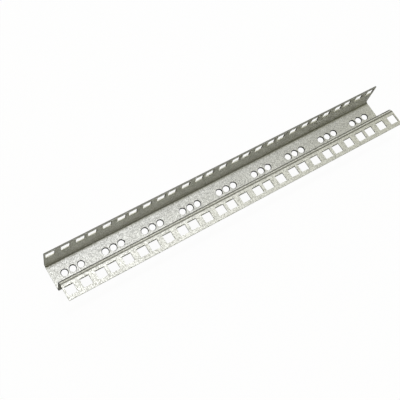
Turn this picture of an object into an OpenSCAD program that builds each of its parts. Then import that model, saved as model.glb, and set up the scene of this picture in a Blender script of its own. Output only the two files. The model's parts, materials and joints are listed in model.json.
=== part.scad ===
// Rack mounting rail: one length of folded, galvanised steel strip.
// A flat web lies on the floor. The back flange rises from its rear edge, and a step
// rises from its front edge to a front flange that turns outwards. Both flanges carry
// square holes for cage nuts on the rack pitch, and the web carries groups of round holes.
// The rail runs along X, its front edge faces -Y, and its underside is at Z = 0.

/* [Length] */
// Length of the rail in rack units
rack_units = 9; // [1:1:47]
// Height of one rack unit
unit_h = 44.45; // [40:0.05:50]

/* [Sheet] */
// Thickness of the steel strip
sheet_t = 1.5; // [1:0.1:3]
// Inside radius of the two bends beside the web
bend_r = 2.5; // [0.5:0.1:3]
// Inside radius of the bend between the step and the front flange
shoulder_r = 4; // [0.5:0.1:5]

/* [Section] */
// Overall width, from the front flange's edge to the back flange's outer face
section_w = 50; // [46:0.5:80]
// Overall height of the back flange
back_h = 33.5; // [24:0.5:60]
// Overall height of the front flange's upper face
front_h = 30; // [14:0.5:60]
// Width of the front flange, from its edge to the inner face of the step
front_w = 21.5; // [20:0.5:27]

/* [Square holes] */
// Side of a square hole
square_size = 9.5; // [8:0.1:11]
// Corner radius of a square hole
square_r = 0.6; // [0.2:0.1:2]
// Distance from either end of a rack unit to the nearest of its three holes
first_hole = 6.35; // [5.5:0.05:8]
// Distance of the front row from the front flange's edge
front_row = 8.9; // [6:0.1:11]
// Distance of the back row from the back flange's upper edge
back_row = 7; // [5.5:0.1:14]

/* [Round holes] */
// Diameter of a round hole
round_d = 7; // [4:0.1:8]
// Pitch of the three round holes in a group
round_pitch = 8.85; // [8.1:0.05:12]
// Distance of the round holes from the back flange's outer face
round_row = 16; // [12:0.1:22]

/* [Hidden] */
$fn = 64;
rail_l = rack_units * unit_h;
hole_pitch = unit_h / 2 - first_hole;
y_front = -section_w / 2;
y_back = section_w / 2;
y_step = y_front + front_w;
bend_out = bend_r + sheet_t;
shoulder_out = shoulder_r + sheet_t;
over = 1;
steel = [0.78, 0.79, 0.76];

// A quarter bend of inside radius r about (cy, cz), in the quadrant given by the signs sy and sz.
module bend(r, cy, cz, sy, sz) {
  out = r + sheet_t;
  translate([cy, cz]) difference() {
    intersection() {
      circle(r = out);
      translate([sy < 0 ? -out : 0, sz < 0 ? -out : 0]) square(out);
    }
    circle(r = r);
  }
}

// The folded section, drawn with Y to the right and Z up.
module rail_section() {
  // back flange
  translate([y_back - sheet_t, bend_out]) square([sheet_t, back_h - bend_out]);
  bend(bend_r, y_back - bend_out, bend_out, 1, -1);
  // web
  translate([y_step - sheet_t + bend_out, 0])
    square([y_back - y_step + sheet_t - 2 * bend_out, sheet_t]);
  bend(bend_r, y_step - sheet_t + bend_out, bend_out, -1, -1);
  // step
  translate([y_step - sheet_t, bend_out]) square([sheet_t, front_h - bend_out - shoulder_out]);
  bend(shoulder_r, y_step - shoulder_out, front_h - shoulder_out, 1, 1);
  // front flange
  translate([y_front, front_h - sheet_t]) square([front_w - shoulder_out, sheet_t]);
}

// One square hole with its small corner radius.
module square_hole() {
  inner = square_size - 2 * square_r;
  square([square_size, inner], center = true);
  square([inner, square_size], center = true);
  for (x = [-inner / 2, inner / 2]) {
    for (y = [-inner / 2, inner / 2]) {
      translate([x, y]) circle(r = square_r);
    }
  }
}

// A row of square holes along X, three in each rack unit.
module square_row() {
  for (unit = [0 : rack_units - 1]) {
    for (i = [0 : 2]) {
      translate([unit * unit_h + first_hole + i * hole_pitch - rail_l / 2, 0]) square_hole();
    }
  }
}

// A row of round holes along X, a group of three in the middle of each rack unit.
module round_row_holes() {
  for (unit = [0 : rack_units - 1]) {
    for (i = [-1 : 1]) {
      translate([(unit + 0.5) * unit_h + i * round_pitch - rail_l / 2, 0]) circle(d = round_d);
    }
  }
}

module mounting_rail() {
  color(steel) difference() {
    rotate([90, 0, 90]) translate([0, 0, -rail_l / 2]) linear_extrude(height = rail_l) rail_section();
    // front flange holes
    translate([0, y_front + front_row, front_h - sheet_t - over])
      linear_extrude(height = sheet_t + 2 * over) square_row();
    // back flange holes
    translate([0, y_back + over, back_h - back_row])
      rotate([90, 0, 0]) linear_extrude(height = sheet_t + 2 * over) square_row();
    // web holes
    translate([0, y_back - round_row, -over])
      linear_extrude(height = sheet_t + 2 * over) round_row_holes();
  }
}

mounting_rail();
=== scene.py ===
import json
import math
from collections import namedtuple

import bpy
import numpy as np
from bpy.props import FloatProperty, FloatVectorProperty, IntProperty, PointerProperty
from mathutils import Matrix, Vector
from mathutils.geometry import delaunay_2d_cdt


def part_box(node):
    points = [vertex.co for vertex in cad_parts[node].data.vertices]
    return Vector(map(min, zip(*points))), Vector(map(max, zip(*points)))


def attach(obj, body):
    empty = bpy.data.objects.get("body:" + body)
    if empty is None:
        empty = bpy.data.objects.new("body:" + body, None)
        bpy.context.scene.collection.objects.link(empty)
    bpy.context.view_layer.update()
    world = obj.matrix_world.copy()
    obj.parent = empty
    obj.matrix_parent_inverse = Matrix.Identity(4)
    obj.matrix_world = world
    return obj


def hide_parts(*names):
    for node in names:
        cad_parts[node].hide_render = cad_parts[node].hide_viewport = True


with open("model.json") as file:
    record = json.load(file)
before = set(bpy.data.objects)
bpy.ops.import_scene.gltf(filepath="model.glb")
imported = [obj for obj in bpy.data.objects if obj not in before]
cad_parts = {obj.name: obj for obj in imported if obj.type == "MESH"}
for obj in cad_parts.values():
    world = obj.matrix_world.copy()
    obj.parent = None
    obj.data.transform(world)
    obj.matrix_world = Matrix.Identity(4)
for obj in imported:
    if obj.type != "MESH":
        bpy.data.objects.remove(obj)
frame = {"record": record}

bl_info = {
    "name": "Rack Mounting Rail",
    "version": (1, 0, 0),
    "blender": (4, 5, 0),
    "location": "View3D > Sidebar > Rack Rail",
    "description": "Punches a galvanised strip, folds it into a rack rail and sets it on a white stage",
    "category": "Object",
}

NODE = "mounting_rail"
BODY = "root"
MM = 0.001
QUARTER_TURN = math.pi / 2
FULL_TURN = 2 * math.pi

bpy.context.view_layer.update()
LOW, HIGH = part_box(NODE)
MOUNTS = {mount["name"]: mount for mount in frame["record"]["mounts"]}
WEB_BORE = MOUNTS["web_bore_start"]["dims"]

# One straight or bent stretch of the folded sheet's middle line, and the seven stretches in order.
Stretch = namedtuple("Stretch", "start length y z heading bend")
FoldPath = namedtuple("FoldPath", "front shoulder step lower_bend web back_fold back")

# A cut edge of the flat strip: its points, the directions into the sheet, and the shape of its rims.
CutEdge = namedtuple("CutEdge", "kind base into roll wider tighter")

# Painted shade at the bends: shares of the way across a stretch, each with how much painted shade darkens
# the coat there and how much of the bending tool's smoother rub its roughness takes.
SHOULDER_SHADE_AND_RUB = ((0, 0), (0.125, 1), (0.19, 0.8), (0.31, 0), (0.38, 0.1), (0.53, 1), (0.8, 1), (1, 0))
BACK_FOLD_SHADE_AND_RUB = ((0, 0), (0.1, 0.6), (0.33, 1), (0.65, 0.1), (1, 0))
# Below, the shares paint the shade that falls under the front flange onto the shoulder and the step.
SHOULDER_SHADE_BELOW = ((0, 0), (0.4, 1), (1, 0.4))
STEP_SHADE_BELOW = ((0, 0.4), (1, 0.2))

# Textures of the coat and of the cut edges.
CLOUDS_PER_METRE = 38.0
STREAKS_PER_METRE = (14.0, 900.0, 900.0)
CRYSTAL_SHINE, CLOUD_SHINE = 0.6, 0.4
GRAIN_RELIEF, STREAK_RELIEF = 0.5, 0.5
COAT_RELIEF, CUT_RELIEF = 0.25, 0.3
RELIEF_DEPTH = 0.05 * MM

# Where Blender's Mix node has its two values and its result, for numbers and for colours.
MIX_SOCKETS = {"FLOAT": (2, 3, 0), "RGBA": (6, 7, 2)}

# The floor and its drop below the rail, in metres.
FLOOR_RADIUS = 4.0
FLOOR_RISE = 1.6
FLOOR_SIDES = 64
FLOOR_DROP = 0.05 * MM


def mount_at(name, axis):
    """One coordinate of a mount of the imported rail, in metres."""
    return MOUNTS[name]["pos_m"][axis]


class RailSizes(bpy.types.PropertyGroup):
    """Sizes of the rail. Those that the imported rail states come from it."""

    length: FloatProperty(
        name="Length", description="Cut length of the rail", default=HIGH[0] - LOW[0], unit="LENGTH"
    )
    width: FloatProperty(
        name="Width",
        description="Front edge to the back flange's outer face",
        default=HIGH[1] - LOW[1],
        unit="LENGTH",
    )
    back_height: FloatProperty(
        name="Back flange height",
        description="Height of the back flange above the floor",
        default=HIGH[2],
        unit="LENGTH",
    )
    front_height: FloatProperty(
        name="Front flange height",
        description="Height of the front flange's upper face above the floor",
        default=mount_at("front_flange_face", 2),
        unit="LENGTH",
    )
    front_width: FloatProperty(
        name="Front flange width",
        description="Front edge to the step's inner face",
        default=21.5 * MM,
        unit="LENGTH",
    )
    sheet: FloatProperty(
        name="Sheet",
        description="Thickness of the strip",
        default=WEB_BORE["length_mm"] * MM,
        unit="LENGTH",
    )
    bend_radius: FloatProperty(
        name="Bend radius",
        description="Inside radius of the two bends beside the web",
        default=2.5 * MM,
        unit="LENGTH",
    )
    shoulder_radius: FloatProperty(
        name="Shoulder radius",
        description="Inside radius of the bend between the step and the front flange",
        default=4.0 * MM,
        unit="LENGTH",
    )
    unit_height: FloatProperty(
        name="Rack unit", description="Height of one rack unit", default=44.45 * MM, unit="LENGTH"
    )
    first_hole: FloatProperty(
        name="First hole",
        description="End of a rack unit to its nearest square hole",
        default=mount_at("front_square_start_lower", 0) - LOW[0],
        unit="LENGTH",
    )
    square_side: FloatProperty(
        name="Square hole", description="Side of a cage nut hole", default=9.5 * MM, unit="LENGTH"
    )
    square_corner: FloatProperty(
        name="Square hole corner",
        description="Corner radius of a cage nut hole",
        default=0.6 * MM,
        unit="LENGTH",
    )
    front_row: FloatProperty(
        name="Front row",
        description="Front edge to the middle of the front flange's holes",
        default=mount_at("front_square_start_lower", 1) - LOW[1],
        unit="LENGTH",
    )
    back_row: FloatProperty(
        name="Back row",
        description="Upper edge to the middle of the back flange's holes",
        default=HIGH[2] - mount_at("back_square_start_lower", 2),
        unit="LENGTH",
    )
    round_radius: FloatProperty(
        name="Round hole radius",
        description="Radius of a screw hole",
        default=WEB_BORE["r_mm"] * MM,
        unit="LENGTH",
    )
    round_pitch: FloatProperty(
        name="Round hole pitch",
        description="Pitch of the three screw holes in a group",
        default=8.85 * MM,
        unit="LENGTH",
    )
    round_row: FloatProperty(
        name="Round row",
        description="Back flange's outer face to the middle of the screw holes",
        default=HIGH[1] - mount_at("web_bore_start", 1),
        unit="LENGTH",
    )
    edge_roll: FloatProperty(
        name="Edge roll",
        description="Rounding of the punched and sheared edges",
        default=0.15 * MM,
        unit="LENGTH",
    )
    bore_roll: FloatProperty(
        name="Bore roll",
        description="Rounding of the edges of the screw holes",
        default=0.06 * MM,
        unit="LENGTH",
    )
    break_out: FloatProperty(
        name="Break-out",
        description="How much wider the screw holes are at the upper face, to a side",
        default=0.38 * MM,
        unit="LENGTH",
    )
    burr: FloatProperty(
        name="Burr",
        description="How much tighter the screw holes are at the lower face, to a side",
        default=0.2 * MM,
        unit="LENGTH",
    )
    edge_ring: FloatProperty(
        name="Edge ring",
        description="Width of the narrow faces beside cut edges and bends",
        default=0.6 * MM,
        unit="LENGTH",
    )
    wave: FloatProperty(
        name="Wave",
        description="How far the sheet's faces wander from true",
        default=0.04 * MM,
        unit="LENGTH",
    )
    grid: FloatProperty(
        name="Grid", description="Spacing of the mesh on the flat faces", default=4.0 * MM, unit="LENGTH"
    )
    bend_steps: IntProperty(name="Bend steps", description="Faces across each bend", default=16, min=3)


class ZincFinish(bpy.types.PropertyGroup):
    """Colours and grain of the galvanised coat and of the bare cut edges."""

    light: FloatVectorProperty(
        name="Light zinc",
        description="Brightest grains of the coat",
        default=(0.97, 0.97, 0.95),
        subtype="COLOR",
    )
    dark: FloatVectorProperty(
        name="Dark zinc",
        description="Dullest grains of the coat",
        default=(0.4, 0.4, 0.39),
        subtype="COLOR",
    )
    # Painted shade: the dark colour laid on the bends and under the front flange in place of their shade.
    painted_shade: FloatVectorProperty(
        name="Rubbed zinc",
        description="Coat where the bending tool rubbed it",
        default=(0.14, 0.14, 0.133),
        subtype="COLOR",
    )
    # The two cut-edge colours are near black: partly the darker tone of bare metal, partly painted shade on
    # the walls of the holes, the step's ends and the back flange's edges.
    burnished_cut_shade: FloatVectorProperty(
        name="Burnished cut",
        description="Smooth band of a bare cut edge",
        default=(0.05, 0.049, 0.045),
        subtype="COLOR",
    )
    torn_cut_shade: FloatVectorProperty(
        name="Torn cut",
        description="Rough band of a bare cut edge",
        default=(0.02, 0.0195, 0.018),
        subtype="COLOR",
    )
    spangle: FloatProperty(
        name="Spangle", description="Size of the zinc crystals", default=0.68 * MM, unit="LENGTH"
    )
    grain: FloatProperty(
        name="Grain", description="Size of the fine grain of the coat", default=0.35 * MM, unit="LENGTH"
    )
    crystal_share: FloatProperty(
        name="Crystal share",
        description="How much the crystals mottle the coat",
        default=0.72,
        min=0,
        max=1,
        subtype="FACTOR",
    )
    grain_share: FloatProperty(
        name="Grain share",
        description="How much the fine grain mottles the coat",
        default=0.22,
        min=0,
        max=1,
        subtype="FACTOR",
    )
    cloud_share: FloatProperty(
        name="Cloud share",
        description="How much dull clouds mottle the coat",
        default=0.03,
        min=0,
        max=1,
        subtype="FACTOR",
    )
    streak_share: FloatProperty(
        name="Streak share",
        description="How much rolling streaks mottle the coat",
        default=0.03,
        min=0,
        max=1,
        subtype="FACTOR",
    )
    smooth: FloatProperty(
        name="Smoothest",
        description="Roughness of the shiniest crystals",
        default=0.474,
        min=0,
        max=1,
        subtype="FACTOR",
    )
    dull: FloatProperty(
        name="Dullest",
        description="Roughness of the dullest crystals",
        default=0.674,
        min=0,
        max=1,
        subtype="FACTOR",
    )
    metallic: FloatProperty(
        name="Metallic",
        description="How metallic the weathered coat is",
        default=0.78,
        min=0,
        max=1,
        subtype="FACTOR",
    )
    # How strongly the painted shade darkens the coat at the bends and under the front flange.
    bend_shade_strength: FloatProperty(
        name="Dull bends",
        description="How much the coat darkens where it is bent",
        default=0.9,
        min=0,
        max=1,
        subtype="FACTOR",
    )
    bent_rough: FloatProperty(
        name="Rubbed bends",
        description="Roughness of the coat where the bending tool rubbed it",
        default=0.377,
        min=0,
        max=1,
        subtype="FACTOR",
    )
    bare_front: FloatProperty(
        name="Bare front edges",
        description="How bare of zinc the cut edges of the front flange and the web's ends are",
        default=0.05,
        min=0,
        max=1,
        subtype="FACTOR",
    )
    # The step's bare cut ends take the near-black cut colours, which paint the shade under the front flange
    # at the rail's ends.
    shaded_step_ends: FloatProperty(
        name="Bare step ends",
        description="How bare the cut ends of the step and its bends are",
        default=1.0,
        min=0,
        max=1,
        subtype="FACTOR",
    )
    bare_back: FloatProperty(
        name="Bare back edges",
        description="How bare the back flange's outer edges are",
        default=0.78,
        min=0,
        max=1,
        subtype="FACTOR",
    )
    bare_sills: FloatProperty(
        name="Bare sills",
        description="How bare the lower and upper edges of the back slots are",
        default=0.15,
        min=0,
        max=1,
        subtype="FACTOR",
    )
    # The screw holes' bare walls take the near-black cut colours, which paint the shade in the holes.
    bare_bores: FloatProperty(
        name="Bare bores",
        description="How bare the walls of the screw holes are",
        default=1.0,
        min=0,
        max=1,
        subtype="FACTOR",
    )
    bare_sides: FloatProperty(
        name="Bare sides",
        description="How bare the sides of the back slots are",
        default=0.8,
        min=0,
        max=1,
        subtype="FACTOR",
    )


class StageLook(bpy.types.PropertyGroup):
    """Camera, floor and lamps."""

    aim: FloatVectorProperty(
        name="Aim",
        description="Point in the middle of the picture",
        default=(-0.03111, 0.01106, 0.0015),
        subtype="XYZ",
    )
    distance: FloatProperty(
        name="Distance", description="Camera to the aim", default=0.79538, unit="LENGTH"
    )
    azimuth: FloatProperty(
        name="Azimuth",
        description="Camera's turn about the rail",
        default=math.radians(-51.396),
        subtype="ANGLE",
    )
    elevation: FloatProperty(
        name="Elevation",
        description="Camera's height over the floor",
        default=math.radians(64.675),
        subtype="ANGLE",
    )
    roll: FloatProperty(
        name="Roll",
        description="Camera's turn about its own axis",
        default=math.radians(21.193),
        subtype="ANGLE",
    )
    lens: FloatProperty(
        name="Lens",
        description="Focal length on a 36 mm sensor",
        default=70.123,
        unit="CAMERA",
    )
    floor: FloatVectorProperty(
        name="Floor",
        description="Colour of the floor and backdrop",
        default=(0.9, 0.9, 0.9),
        subtype="COLOR",
    )
    floor_bounce: FloatVectorProperty(
        name="Floor bounce",
        description="Colour of the floor in the light it throws back",
        default=(0.3, 0.3, 0.3),
        subtype="COLOR",
    )
    floor_glow: FloatProperty(
        name="Floor glow",
        description="Share of plain white in the floor that the camera sees",
        default=0.965,
        min=0,
        max=1,
        subtype="FACTOR",
    )
    metal_glow: FloatProperty(
        name="Metal glow",
        description="Share of plain white in the floor that metal reflects",
        default=0.1,
        min=0,
        max=1,
        subtype="FACTOR",
    )
    lamp_place: FloatVectorProperty(
        name="Lamp place",
        description="Middle of the overhead lamp",
        default=(-0.042, 0.173, 1.8),
        subtype="XYZ",
    )
    lamp_size: FloatVectorProperty(
        name="Lamp size",
        description="Length and width of the overhead lamp",
        default=(0.67, 0.14),
        size=2,
        subtype="XYZ",
    )
    lamp_power: FloatProperty(
        name="Lamp power",
        description="Power of the overhead lamp",
        default=14.1,
        unit="POWER",
    )
    lamp_tint: FloatVectorProperty(
        name="Lamp tint",
        description="Colour of the overhead lamp",
        default=(0.93, 0.94, 1.0),
        subtype="COLOR",
    )
    panel_place: FloatVectorProperty(
        name="Panel place",
        description="Middle of the low panel behind the rail",
        default=(0.297, 1.5, 0.469),
        subtype="XYZ",
    )
    panel_size: FloatVectorProperty(
        name="Panel size",
        description="Length and height of the low panel",
        default=(1.6, 0.86),
        size=2,
        subtype="XYZ",
    )
    panel_power: FloatProperty(
        name="Panel power",
        description="Power of the low panel",
        default=7.09,
        unit="POWER",
    )
    panel_tint: FloatVectorProperty(
        name="Panel tint",
        description="Colour of the low panel",
        default=(1.0, 1.0, 0.97),
        subtype="COLOR",
    )
    room_tint: FloatVectorProperty(
        name="Room tint",
        description="Colour of the room's light",
        default=(0.97, 0.96, 0.62),
        subtype="COLOR",
    )
    ambient: FloatProperty(name="Ambient", description="Strength of the room's light", default=0.375)


def fold_path(sizes):
    """Middle line of the folded sheet, from the front edge to the back flange's upper edge.

    Headings are measured from +Y towards +Z, and a bend is given as its curvature.
    """
    half = sizes.sheet / 2
    shoulder, corner = sizes.shoulder_radius + half, sizes.bend_radius + half
    channel = sizes.width - sizes.front_width + sizes.sheet
    plan = [
        (sizes.front_width - shoulder - half, 0.0),
        (shoulder * QUARTER_TURN, -1 / shoulder),
        (sizes.front_height - shoulder - corner - sizes.sheet, 0.0),
        (corner * QUARTER_TURN, 1 / corner),
        (channel - 2 * corner - sizes.sheet, 0.0),
        (corner * QUARTER_TURN, 1 / corner),
        (sizes.back_height - corner - half, 0.0),
    ]
    stretches = []
    start, heading = 0.0, 0.0
    y, z = -sizes.width / 2, sizes.front_height - half
    for length, bend in plan:
        stretches.append(Stretch(start, length, y, z, heading, bend))
        y, z, heading = along(stretches[-1], length)
        start += length
    return FoldPath(*stretches)


def along(stretch, distance):
    """Point and heading at a distance along one stretch of the fold path."""
    _, _, y, z, heading, bend = stretch
    turned = heading + bend * distance
    if bend == 0.0:
        return y + math.cos(heading) * distance, z + math.sin(heading) * distance, turned
    y = y + (np.sin(turned) - math.sin(heading)) / bend
    z = z - (np.cos(turned) - math.cos(heading)) / bend
    return y, z, turned


def on_stretch(across, stretch):
    """Which distances across the strip lie on a stretch of the path, its ends included."""
    touching = 0.001 * MM
    end = stretch.start + stretch.length
    return (across > stretch.start - touching) & (across < end + touching)


def fold(path, across):
    """Points (y, z) and headings of the folded middle line at distances across the flat strip."""
    y, z, heading = np.zeros((3, len(across)))
    for stretch in path:
        end = math.inf if stretch is path.back else stretch.start + stretch.length
        inside = (across >= stretch.start) & (across < end)
        y[inside], z[inside], heading[inside] = along(stretch, across[inside] - stretch.start)
    return y, z, heading


def sheet_wave(sizes, x, across):
    """Height and slopes of the faint waves that rolling and punching leave in the sheet."""
    long_wave, short_wave, cross_wave = 190 * MM, 61 * MM, 88 * MM
    long_share, short_share, short_start = 0.7, 0.3, 1.3
    a = FULL_TURN * x / long_wave + FULL_TURN * across / cross_wave
    b = FULL_TURN * x / short_wave - FULL_TURN * across / cross_wave + short_start
    height = sizes.wave * (long_share * np.sin(a) + short_share * np.sin(b))
    steep = sizes.wave * FULL_TURN
    slope_x = steep * (long_share / long_wave * np.cos(a) + short_share / short_wave * np.cos(b))
    slope_s = steep / cross_wave * (long_share * np.cos(a) - short_share * np.cos(b))
    return height, slope_x, slope_s


def square_outline(x, across, sizes):
    """Outline of a cage nut hole in the flat strip: points, and directions into the sheet."""
    side_points, corner_steps = 3, 4
    inner = sizes.square_side / 2 - sizes.square_corner
    points, into = [], []
    for quarter in range(4):
        turn = quarter * QUARTER_TURN
        corner_x = math.copysign(inner, math.cos(turn + QUARTER_TURN / 2))
        corner_s = math.copysign(inner, math.sin(turn + QUARTER_TURN / 2))
        for step in range(corner_steps + 1):
            angle = turn + step * QUARTER_TURN / corner_steps
            points.append((corner_x, corner_s))
            into.append((math.cos(angle), math.sin(angle)))
        # the straight side that follows this corner
        heading = turn + QUARTER_TURN
        normal = (math.cos(heading), math.sin(heading))
        ahead = (math.cos(heading + QUARTER_TURN), math.sin(heading + QUARTER_TURN))
        for step in range(1, side_points + 1):
            run = inner * (2 * step / (side_points + 1))
            points.append((corner_x + ahead[0] * run, corner_s + ahead[1] * run))
            into.append(normal)
    points = np.array(points) + np.array(into) * sizes.square_corner
    return points + (x, across), np.array(into)


def round_outline(x, across, sizes):
    """Outline of a screw hole in the flat strip: points, and directions into the sheet."""
    steps = 32
    angle = np.arange(steps) * FULL_TURN / steps
    into = np.stack([np.cos(angle), np.sin(angle)], 1)
    return into * sizes.round_radius + (x, across), into


def strip_outline(columns, rows):
    """Outline of the flat strip, run anticlockwise: points, and directions into the sheet."""
    near, far, first, last = columns[0], columns[-1], rows[0], rows[-1]
    points = [(x, first) for x in columns[:-1]] + [(far, s) for s in rows[:-1]]
    points += [(x, last) for x in columns[:0:-1]] + [(near, s) for s in rows[:0:-1]]
    points = np.array(points)
    into = np.zeros_like(points)
    into[points[:, 0] == near, 0] = 1
    into[points[:, 0] == far, 0] = -1
    into[points[:, 1] == first, 1] = 1
    into[points[:, 1] == last, 1] = -1
    return points, into


def hole_places(sizes, path):
    """Middles of the holes in the flat strip: the square ones, then the round ones."""
    units = round(sizes.length / sizes.unit_height)
    pitch = sizes.unit_height / 2 - sizes.first_hole
    back_row = path.back.start + path.back.length - sizes.back_row
    round_row = path.web.start + sizes.width / 2 - sizes.round_row - path.web.y
    squares, rounds = [], []
    for unit in range(units):
        middle = (unit + 0.5) * sizes.unit_height - sizes.length / 2
        for step in (-1, 0, 1):
            squares.append((middle + step * pitch, sizes.front_row))
            squares.append((middle + step * pitch, back_row))
            rounds.append((middle + step * sizes.round_pitch, round_row))
    return squares, rounds


def cut_edges(sizes, columns, rows, squares, rounds):
    """Every cut edge of the flat strip: its outline, then the cage nut holes, then the screw holes."""
    edges = [CutEdge("strip", *strip_outline(columns, rows), sizes.edge_roll, 0.0, 0.0)]
    for x, across in squares:
        edges.append(CutEdge("square", *square_outline(x, across, sizes), sizes.edge_roll, 0.0, 0.0))
    for x, across in rounds:
        rims = sizes.bore_roll, sizes.break_out, sizes.burr
        edges.append(CutEdge("bore", *round_outline(x, across, sizes), *rims))
    return edges


def distance_to_holes(sizes, points, squares, rounds):
    """How far outside the nearest hole each point of the flat strip lies, negative inside one."""
    inner = sizes.square_side / 2 - sizes.square_corner
    nearest = np.full(len(points), np.inf)
    for middle in squares:
        beyond = np.maximum(np.abs(points - middle) - inner, 0)
        nearest = np.minimum(nearest, np.hypot(beyond[:, 0], beyond[:, 1]) - sizes.square_corner)
    for middle in rounds:
        beyond = points - middle
        nearest = np.minimum(nearest, np.hypot(beyond[:, 0], beyond[:, 1]) - sizes.round_radius)
    return nearest


def ring_width(sizes):
    """Cut edge to the inner side of the ring of faces beside it."""
    return sizes.edge_roll + sizes.edge_ring


def flat_columns(sizes):
    """Places along the strip at which the mesh has a line."""
    half, ring = sizes.length / 2, ring_width(sizes)
    columns = np.linspace(-half, half, round(sizes.length / sizes.grid) + 1)
    return np.concatenate([[-half, -half + ring], columns[1:-1], [half - ring, half]])


def flat_rows(sizes, path):
    """Distances across the strip at which the mesh has a line, and which of them lie on a bend."""
    fewest_rows = 2
    rows = []
    for stretch in path:
        start, length = stretch.start, stretch.length
        steps = sizes.bend_steps if stretch.bend else max(fewest_rows, round(length / sizes.grid))
        lines = [start + length * step / steps for step in range(steps)]
        if stretch.bend:
            rows += [(line, True) for line in lines]
            continue
        # a flat stretch starts on the last line of the bend before it, with a narrow row beside each bend
        after_bend, before_bend = stretch is not path.front, stretch is not path.back
        rows.append((lines[0], after_bend))
        if after_bend:
            rows.append((start + sizes.edge_ring, False))
        rows += [(line, False) for line in lines[1:]]
        if before_bend:
            rows.append((start + length - sizes.edge_ring, False))
    end, ring = path.back.start + path.back.length, ring_width(sizes)
    rows.insert(1, (ring, False))
    rows += [(end - ring, False), (end, False)]
    across, on_bend = zip(*rows)
    return np.array(across), np.array(on_bend)


class FlatPattern:
    """Collects the points of the flat strip, and the lines between them that its mesh has to keep."""

    def __init__(self):
        self.points, self.lines = [], []

    def add_points(self, points):
        """Adds loose points and returns their numbers."""
        first = len(self.points)
        self.points.extend(map(tuple, points))
        return range(first, len(self.points))

    def add_line(self, points):
        """Adds points joined by a line and returns their numbers."""
        numbers = self.add_points(points)
        self.lines.extend(zip(numbers, numbers[1:]))
        return numbers

    def add_loop(self, points):
        """Adds points joined by a closed line and returns their numbers."""
        numbers = self.add_line(points)
        self.lines.append((numbers[-1], numbers[0]))
        return numbers

    def triangles(self):
        """Points and triangles of the mesh, and the number that each collected point has in it."""
        weld_mm = 1e-5
        scaled = [Vector((x / MM, across / MM)) for x, across in self.points]
        flat, _, faces, origin, _, _ = delaunay_2d_cdt(scaled, self.lines, [], 0, weld_mm)
        flat = np.array([(point.x, point.y) for point in flat]) * MM
        faces = np.array([face for face in faces if len(face) == 3])
        return flat, faces, {old: new for new, olds in enumerate(origin) for old in olds}


def punched_faces(flat, faces, holes):
    """The triangles that lie in no hole, all turned the same way."""
    hole = np.full(len(flat), -1)
    for number, ring in enumerate(holes):
        hole[ring] = number
    first, second, third = hole[faces].T
    faces = faces[~((first >= 0) & (first == second) & (first == third))]
    a, b, c = (flat[faces[:, corner]] for corner in range(3))
    u, v = b - a, c - a
    turned = u[:, 0] * v[:, 1] - u[:, 1] * v[:, 0] < 0
    faces[turned] = faces[turned][:, ::-1]
    return faces


def flat_strip(sizes, path):
    """Mesh of the punched strip before folding.

    Returns its points, its triangles, its cut edges, and for each of them the numbers of its points.
    """
    ring = ring_width(sizes)
    clearance = ring + sizes.grid / 5
    columns = flat_columns(sizes)
    rows, on_bend = flat_rows(sizes, path)
    squares, rounds = hole_places(sizes, path)
    edges = cut_edges(sizes, columns, rows, squares, rounds)
    pattern = FlatPattern()
    loops = []
    for edge in edges:
        loops.append(pattern.add_loop(edge.base + edge.into * (edge.roll + edge.wider)))
        if edge.kind != "strip":
            pattern.add_loop(edge.base + edge.into * ring)
    for across, bent in zip(rows[1:-1], on_bend[1:-1]):
        line = np.stack([columns[1:-1], np.full(len(columns) - 2, across)], 1)
        if bent:
            pattern.add_line(line)
        else:
            pattern.add_points(line[distance_to_holes(sizes, line, squares, rounds) > clearance])
    flat, faces, now = pattern.triangles()
    rings = [[now[number] for number in loop] for loop in loops]
    return flat, punched_faces(flat, faces, rings[1:]), edges, rings


def bare_share(finish, path, edge):
    """How bare of zinc the points of a cut edge are."""
    if edge.kind == "bore":
        return np.full(len(edge.base), finish.bare_bores)
    across = edge.base[:, 1]
    if edge.kind == "strip":
        # Near-black bare metal on the step's cut ends paints the shade under the front flange at the rail's
        # ends.
        step_end = (across > path.shoulder.start) & (across < path.web.start)
        front, back = np.where(step_end, finish.shaded_step_ends, finish.bare_front), finish.bare_back
    else:
        sill = np.abs(edge.into[:, 1]) > np.abs(edge.into[:, 0])
        front, back = finish.bare_front, np.where(sill, finish.bare_sills, finish.bare_sides)
    return np.where(across > path.back_fold.start, back, front)


def bend_shade_and_rub(path, across, below):
    """How much painted shade darkens the coat, and how much of the bending tool's rub its roughness takes,
    at distances across the strip, on its upper or its lower face.
    """
    lines = [(path.shoulder, SHOULDER_SHADE_AND_RUB), (path.back_fold, BACK_FOLD_SHADE_AND_RUB)]
    if below:
        lines = [(path.shoulder, SHOULDER_SHADE_BELOW), (path.step, STEP_SHADE_BELOW)]
    shares = np.zeros(len(across))
    for stretch, painted_shade in lines:
        inside = on_stretch(across, stretch)
        shares[inside] = np.interp((across[inside] - stretch.start) / stretch.length, *zip(*painted_shade))
    return shares


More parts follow.
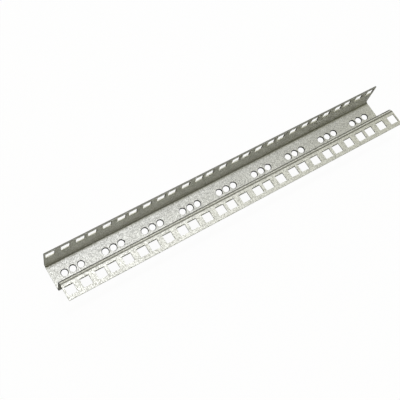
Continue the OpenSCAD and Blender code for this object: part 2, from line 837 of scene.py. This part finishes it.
class FoldedMesh:
    """Collects the folded sheet's points, normals and faces.

    Each point has its depth in a cut edge, how bare of zinc it is and how much painted shade darkens its
    coat.
    """

    def __init__(self, sizes, path):
        self.sizes, self.path = sizes, path
        self.points, self.normals = [], []
        self.depth, self.bare, self.bent = [], [], []
        self.faces, self.cut = [], []
        self.count = 0

    def add_points(self, flat, level, tilt, lean, depth, bare):
        """Folds flat points at a level above the middle line, with normals that lean out of the sheet."""
        y, z, heading = fold(self.path, flat[:, 1])
        height, slope_x, slope_s = sheet_wave(self.sizes, flat[:, 0], flat[:, 1])
        ahead = np.stack([np.zeros_like(y), np.cos(heading), np.sin(heading)], 1)
        up = np.stack([np.zeros_like(y), -np.sin(heading), np.cos(heading)], 1)
        side = np.array([[1.0, 0.0, 0.0]])
        middle = np.stack([flat[:, 0], y, z], 1)
        normal = up * tilt - side * (slope_x * tilt)[:, None] - ahead * (slope_s * tilt)[:, None]
        normal = normal + side * lean[:, :1] + ahead * lean[:, 1:]
        self.points.append(middle + up * (level + height)[:, None])
        self.normals.append(normal / np.linalg.norm(normal, axis=1)[:, None])
        self.depth.append(np.full(len(flat), depth))
        self.bare.append(bare)
        # The bend share paints shade on the coat along the bends and under the front flange.
        self.bent.append(bend_shade_and_rub(self.path, flat[:, 1], tilt < 0))
        first = self.count
        self.count += len(flat)
        return np.arange(first, self.count)

    def add_faces(self, faces, cut):
        """Adds faces of the coated sheet or of a cut edge."""
        self.faces.extend(faces.tolist())
        self.cut.extend([int(cut)] * len(faces))

    def add_wall(self, upper, lower, outer_edge, cut):
        """Joins two rings of points by a wall that faces out of the sheet."""
        quads = np.stack([upper, np.roll(upper, -1), np.roll(lower, -1), lower], 1)
        self.add_faces(quads[:, ::-1] if outer_edge else quads, cut)


def folded_sheet_mesh(sizes, finish):
    """The whole rail as one closed mesh: both faces of the sheet, and every cut edge with rolled rims."""
    path = fold_path(sizes)
    flat, faces, edges, rings = flat_strip(sizes, path)
    mesh = FoldedMesh(sizes, path)
    half = sizes.sheet / 2
    straight, coated = np.zeros_like(flat), np.zeros(len(flat))
    upper = mesh.add_points(flat, half, 1.0, straight, 0.0, coated)
    lower = mesh.add_points(flat, -half, -1.0, straight, 1.0, coated)
    mesh.add_faces(upper[faces], False)
    mesh.add_faces(lower[faces[:, ::-1]], False)
    diagonal = 1 - math.sqrt(0.5)
    # the walls of the upper rim keep their zinc
    coated_walls = 2
    for edge, ring in zip(edges, rings):
        base, into, roll = edge.base, edge.into, edge.roll
        out = -into / np.linalg.norm(into, axis=1)[:, None]
        bare = bare_share(finish, path, edge)
        rim = base + into * roll * diagonal
        wider, tighter = into * edge.wider, into * edge.tighter
        levels = [
            upper[ring],
            mesh.add_points(rim + wider, half - roll * diagonal, 1.0, out, 0.0, bare),
            mesh.add_points(base + wider, half - roll, 0.0, out, 0.0, bare),
            mesh.add_points(base - tighter, roll - half, 0.0, out, 1.0, bare),
            mesh.add_points(rim - tighter, roll * diagonal - half, -1.0, out, 1.0, bare),
            lower[ring],
        ]
        for step, (above, below) in enumerate(zip(levels, levels[1:])):
            mesh.add_wall(above, below, edge.kind == "strip", step >= coated_walls)
    return mesh


class NewMaterial:
    """A node material in the making, with short ways to add and join its nodes."""

    def __init__(self, name):
        self.material = bpy.data.materials.new(name)
        self.material.use_nodes = True
        self.tree = self.material.node_tree
        self.shader = self.tree.nodes["Principled BSDF"]

    def add(self, kind, **settings):
        """A new node with its sockets and settings."""
        node = self.tree.nodes.new(kind)
        for name, value in settings.items():
            if name in node.inputs:
                node.inputs[name].default_value = value
            else:
                setattr(node, name, value)
        return node

    def join(self, source, target):
        """Links an output to an input."""
        self.tree.links.new(source, target)

    def object_place(self):
        """Places in the object's own frame."""
        return self.add("ShaderNodeTexCoord").outputs["Object"]

    def from_points(self, name):
        """A value that the mesh keeps at its points."""
        return self.add("ShaderNodeAttribute", attribute_name=name).outputs["Fac"]

    def laid_on(self, place, kind, **settings):
        """A texture or mapping node laid on a place."""
        node = self.add(kind, **settings)
        self.join(place, node.inputs["Vector"])
        return node

    def weigh(self, *parts):
        """Sum of sockets, each times its own weight."""
        total = None
        for socket, weight in parts:
            node = self.add("ShaderNodeMath", operation="MULTIPLY_ADD")
            self.join(socket, node.inputs[0])
            node.inputs[1].default_value = weight
            node.inputs[2].default_value = 0.0
            if total is not None:
                self.join(total, node.inputs[2])
            total = node.outputs[0]
        return total

    def spread(self, value, low, high):
        """A number from 0 to 1, spread from low to high."""
        node = self.add("ShaderNodeMapRange", **{"To Min": low, "To Max": high})
        self.join(value, node.inputs["Value"])
        return node.outputs[0]

    def blend(self, share, first, second, kind="RGBA"):
        """A colour or number between two others, each of them plain or from a socket."""
        node = self.add("ShaderNodeMix", data_type=kind)
        self.join(share, node.inputs[0])
        first_in, second_in, result = MIX_SOCKETS[kind]
        for value, number in ((first, first_in), (second, second_in)):
            if isinstance(value, bpy.types.NodeSocket):
                self.join(value, node.inputs[number])
            else:
                node.inputs[number].default_value = (*value, 1) if kind == "RGBA" else value
        return node.outputs[result]

    def emboss(self, height, strength):
        """Gives the surface a fine relief."""
        node = self.add("ShaderNodeBump", Strength=strength, Distance=RELIEF_DEPTH)
        self.join(height, node.inputs["Height"])
        self.join(node.outputs[0], self.shader.inputs["Normal"])


def crystal_tone(zinc, place, spangle):
    """One tone for each zinc crystal, whose sides wander."""
    wander = zinc.laid_on(place, "ShaderNodeTexNoise", Scale=1 / spangle, Detail=2.0)
    warped = zinc.add("ShaderNodeVectorMath", operation="MULTIPLY_ADD")
    warped.inputs[1].default_value = (spangle / 2,) * 3
    zinc.join(wander.outputs["Color"], warped.inputs[0])
    zinc.join(place, warped.inputs[2])
    crystals = zinc.laid_on(warped.outputs[0], "ShaderNodeTexVoronoi", Scale=1 / spangle)
    tone = zinc.add("ShaderNodeSeparateColor")
    zinc.join(crystals.outputs["Color"], tone.inputs[0])
    return tone.outputs[0]


def zinc_material(finish):
    """Galvanised coat: zinc crystals, fine grain, dull clouds and faint rolling streaks along the rail.

    Along the bends and under the front flange it is darkened with painted shade, and there it has the
    roughness of coat that the bending tool went over.
    """
    zinc = NewMaterial("galvanised_zinc")
    noise = "ShaderNodeTexNoise"
    place = zinc.object_place()
    stretched = zinc.laid_on(place, "ShaderNodeMapping", Scale=STREAKS_PER_METRE).outputs[0]
    crystals = crystal_tone(zinc, place, finish.spangle)
    grain = zinc.laid_on(place, noise, Scale=1 / finish.grain, Detail=4.0, Roughness=0.65).outputs[0]
    clouds = zinc.laid_on(place, noise, Scale=CLOUDS_PER_METRE, Detail=3.0, Roughness=0.55).outputs[0]
    streaks = zinc.laid_on(stretched, noise, Scale=1.0, Detail=3.0).outputs[0]
    mottle = zinc.weigh(
        (crystals, finish.crystal_share),
        (grain, finish.grain_share),
        (clouds, finish.cloud_share),
        (streaks, finish.streak_share),
    )
    # Painted shade: the bend share darkens the coat towards the painted shade colour along the bends and
    # under the front flange.
    bent = zinc.from_points("bent")
    coat = zinc.blend(mottle, finish.dark, finish.light)
    coat = zinc.blend(zinc.weigh((bent, finish.bend_shade_strength)), coat, finish.painted_shade)
    shine = zinc.weigh((crystals, CRYSTAL_SHINE), (clouds, CLOUD_SHINE))
    roughness = zinc.blend(bent, zinc.spread(shine, finish.dull, finish.smooth), finish.bent_rough, "FLOAT")
    zinc.join(coat, zinc.shader.inputs["Base Color"])
    zinc.join(roughness, zinc.shader.inputs["Roughness"])
    zinc.emboss(zinc.weigh((grain, GRAIN_RELIEF), (streaks, STREAK_RELIEF)), COAT_RELIEF)
    zinc.shader.inputs["Metallic"].default_value = finish.metallic
    return zinc.material


def cut_material(finish):
    """Sheared edge: a smooth, punch-polished band where the punch slid, and a rough fracture band below it,
    both near black: partly the darker tone of bare metal, partly painted shade.

    Where the edge isn't bare, the zinc that crept over it covers both.
    """
    torn_from, torn_whole = 0.35, 0.75
    depth_share, rough_share = 0.8, 0.3
    coated_roughness, bare_roughness = 0.5, 0.9
    coated_metal, bare_metal = 1.0, 0.0
    edge = NewMaterial("cut_edge")
    noise = edge.laid_on(edge.object_place(), "ShaderNodeTexNoise", Scale=1 / finish.grain, Detail=3.0)
    rough, bare = noise.outputs[0], edge.from_points("bare")
    band = edge.add("ShaderNodeMapRange", interpolation_type="SMOOTHSTEP")
    band.inputs["From Min"].default_value = torn_from
    band.inputs["From Max"].default_value = torn_whole
    depth = edge.weigh((edge.from_points("cut_depth"), depth_share), (rough, rough_share))
    edge.join(depth, band.inputs["Value"])
    # Near-black bare metal: its own darker tone with painted shade on top.
    bare_tone_and_shade = edge.blend(band.outputs[0], finish.burnished_cut_shade, finish.torn_cut_shade)
    edge.join(edge.blend(bare, finish.light, bare_tone_and_shade), edge.shader.inputs["Base Color"])
    edge.join(edge.spread(bare, coated_roughness, bare_roughness), edge.shader.inputs["Roughness"])
    edge.join(edge.spread(bare, coated_metal, bare_metal), edge.shader.inputs["Metallic"])
    edge.emboss(rough, CUT_RELIEF)
    edge.shader.inputs["Specular IOR Level"].default_value = 0.15
    return edge.material


class RACKRAIL_OT_folded_sheet(bpy.types.Operator):
    """Punch the flat strip, fold it into the rail and give it its galvanised finish"""

    bl_idname = "rackrail.folded_sheet"
    bl_label = "Fold the Rail"

    def execute(self, context):
        sizes, finish = context.scene.rail_sizes, context.scene.zinc_finish
        folded = folded_sheet_mesh(sizes, finish)
        mesh = bpy.data.meshes.new("folded_rail")
        mesh.from_pydata(np.concatenate(folded.points).tolist(), [], folded.faces)
        if mesh.validate():
            raise RuntimeError("the folded sheet has broken faces")
        mesh.materials.append(zinc_material(finish))
        mesh.materials.append(cut_material(finish))
        mesh.polygons.foreach_set("material_index", folded.cut)
        mesh.polygons.foreach_set("use_smooth", [True] * len(folded.faces))
        for name, values in (("cut_depth", folded.depth), ("bare", folded.bare), ("bent", folded.bent)):
            mesh.attributes.new(name, "FLOAT", "POINT").data.foreach_set("value", np.concatenate(values))
        mesh.normals_split_custom_set_from_vertices(np.concatenate(folded.normals).tolist())
        rail = bpy.data.objects.new("folded_rail", mesh)
        context.scene.collection.objects.link(rail)
        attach(rail, BODY)
        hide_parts(NODE)
        return {"FINISHED"}


def backdrop_material(stage):
    """White floor that is greyer in the light it throws back.

    Where the camera or metal sees it, it is topped up with plain white.
    """
    floor = NewMaterial("white_floor")
    output = floor.tree.nodes["Material Output"]
    floor.tree.nodes.remove(floor.shader)
    ray = floor.add("ShaderNodeLightPath").outputs
    shaded = floor.add("ShaderNodeBsdfDiffuse")
    glow = floor.add("ShaderNodeEmission", Color=(1, 1, 1, 1), Strength=1.0)
    floor.join(floor.blend(ray["Is Camera Ray"], stage.floor_bounce, stage.floor), shaded.inputs["Color"])
    reflected = floor.add("ShaderNodeMath", operation="MAXIMUM")
    floor.join(ray["Is Glossy Ray"], reflected.inputs[0])
    floor.join(ray["Is Transmission Ray"], reflected.inputs[1])
    share = floor.weigh((ray["Is Camera Ray"], stage.floor_glow), (reflected.outputs[0], stage.metal_glow))
    surface = floor.add("ShaderNodeMixShader")
    floor.join(share, surface.inputs[0])
    floor.join(shaded.outputs[0], surface.inputs[1])
    floor.join(glow.outputs[0], surface.inputs[2])
    floor.join(surface.outputs[0], output.inputs["Surface"])
    return floor.material


def backdrop_mesh(radius, rise, sides):
    """A round floor whose rim curves up into a low wall."""
    curve_steps = 8
    profile = [(radius / 2, 0.0), (radius, 0.0)]
    for step in range(1, curve_steps + 1):
        angle = step / curve_steps * QUARTER_TURN
        profile.append((radius + rise * math.sin(angle), rise * (1 - math.cos(angle))))
    points, faces = [(0.0, 0.0, 0.0)], []
    for reach, height in profile:
        first, below = len(points), len(points) - sides
        for side in range(sides):
            angle = FULL_TURN * side / sides
            after = (side + 1) % sides
            points.append((reach * math.cos(angle), reach * math.sin(angle), height))
            if first == 1:
                faces.append((0, first + side, first + after))
            else:
                faces.append((below + side, first + side, first + after, below + after))
    mesh = bpy.data.meshes.new("backdrop")
    mesh.from_pydata(points, [], faces)
    mesh.polygons.foreach_set("use_smooth", [True] * len(faces))
    return mesh


def add_lamp(scene, name, place, size, power, tint):
    """A rectangular soft lamp at a place, turned to the rail's middle."""
    data = bpy.data.lights.new(name, "AREA")
    data.shape = "RECTANGLE"
    data.size, data.size_y = size
    data.energy = power
    data.color = tint
    lamp = bpy.data.objects.new(name, data)
    lamp.location = place
    lamp.rotation_euler = (-Vector(place)).to_track_quat("-Z", "Y").to_euler()
    scene.collection.objects.link(lamp)


def add_camera(scene, stage):
    """The camera, set by its aim, distance and three turns."""
    data = bpy.data.cameras.new("camera")
    data.sensor_fit = "HORIZONTAL"
    data.sensor_width = 36.0
    data.lens = stage.lens
    data.clip_start = 0.01
    camera = bpy.data.objects.new("camera", data)
    level, height = math.cos(stage.elevation), math.sin(stage.elevation)
    back = Vector((math.sin(stage.azimuth) * level, -math.cos(stage.azimuth) * level, height))
    turn = (-back).to_track_quat("-Z", "Y").to_matrix() @ Matrix.Rotation(stage.roll, 3, "Z")
    camera.matrix_world = Matrix.Translation(Vector(stage.aim) + back * stage.distance) @ turn.to_4x4()
    scene.collection.objects.link(camera)
    scene.camera = camera


class RACKRAIL_OT_stage(bpy.types.Operator):
    """Set the white floor, the lamps and the camera"""

    bl_idname = "rackrail.stage"
    bl_label = "Set the Stage"

    def execute(self, context):
        scene = context.scene
        stage = scene.stage_look
        scene.view_settings.view_transform = "Standard"
        mesh = backdrop_mesh(FLOOR_RADIUS, FLOOR_RISE, FLOOR_SIDES)
        mesh.materials.append(backdrop_material(stage))
        backdrop = bpy.data.objects.new("backdrop", mesh)
        backdrop.location.z = -FLOOR_DROP
        scene.collection.objects.link(backdrop)
        world = bpy.data.worlds.new("room")
        world.use_nodes = True
        room = world.node_tree.nodes["Background"]
        room.inputs["Color"].default_value = (*stage.room_tint, 1)
        room.inputs["Strength"].default_value = stage.ambient
        scene.world = world
        overhead = stage.lamp_place, stage.lamp_size, stage.lamp_power, stage.lamp_tint
        low = stage.panel_place, stage.panel_size, stage.panel_power, stage.panel_tint
        add_lamp(scene, "overhead_lamp", *overhead)
        add_lamp(scene, "low_panel", *low)
        add_camera(scene, stage)
        return {"FINISHED"}


class RACKRAIL_PT_panel(bpy.types.Panel):
    """Lists the rail's sizes, finish and stage"""

    bl_label = "Rack Mounting Rail"
    bl_idname = "RACKRAIL_PT_panel"
    bl_space_type = "VIEW_3D"
    bl_region_type = "UI"
    bl_category = "Rack Rail"

    def draw(self, context):
        scene = context.scene
        for group in (scene.rail_sizes, scene.zinc_finish, scene.stage_look):
            box = self.layout.box()
            for name in group.__annotations__:
                box.prop(group, name)
        self.layout.operator(RACKRAIL_OT_folded_sheet.bl_idname)
        self.layout.operator(RACKRAIL_OT_stage.bl_idname)


CLASSES = (
    RailSizes,
    ZincFinish,
    StageLook,
    RACKRAIL_OT_folded_sheet,
    RACKRAIL_OT_stage,
    RACKRAIL_PT_panel,
)


def register():
    """Registers the classes and hangs the settings on the scene."""
    for cls in CLASSES:
        bpy.utils.register_class(cls)
    bpy.types.Scene.rail_sizes = PointerProperty(type=RailSizes)
    bpy.types.Scene.zinc_finish = PointerProperty(type=ZincFinish)
    bpy.types.Scene.stage_look = PointerProperty(type=StageLook)


def unregister():
    """Takes the settings and the classes away again."""
    del bpy.types.Scene.stage_look
    del bpy.types.Scene.zinc_finish
    del bpy.types.Scene.rail_sizes
    for cls in reversed(CLASSES):
        bpy.utils.unregister_class(cls)


def main():
    """Builds the rail and its stage."""
    register()
    bpy.ops.rackrail.folded_sheet()
    bpy.ops.rackrail.stage()


if __name__ == "__main__":
    main()
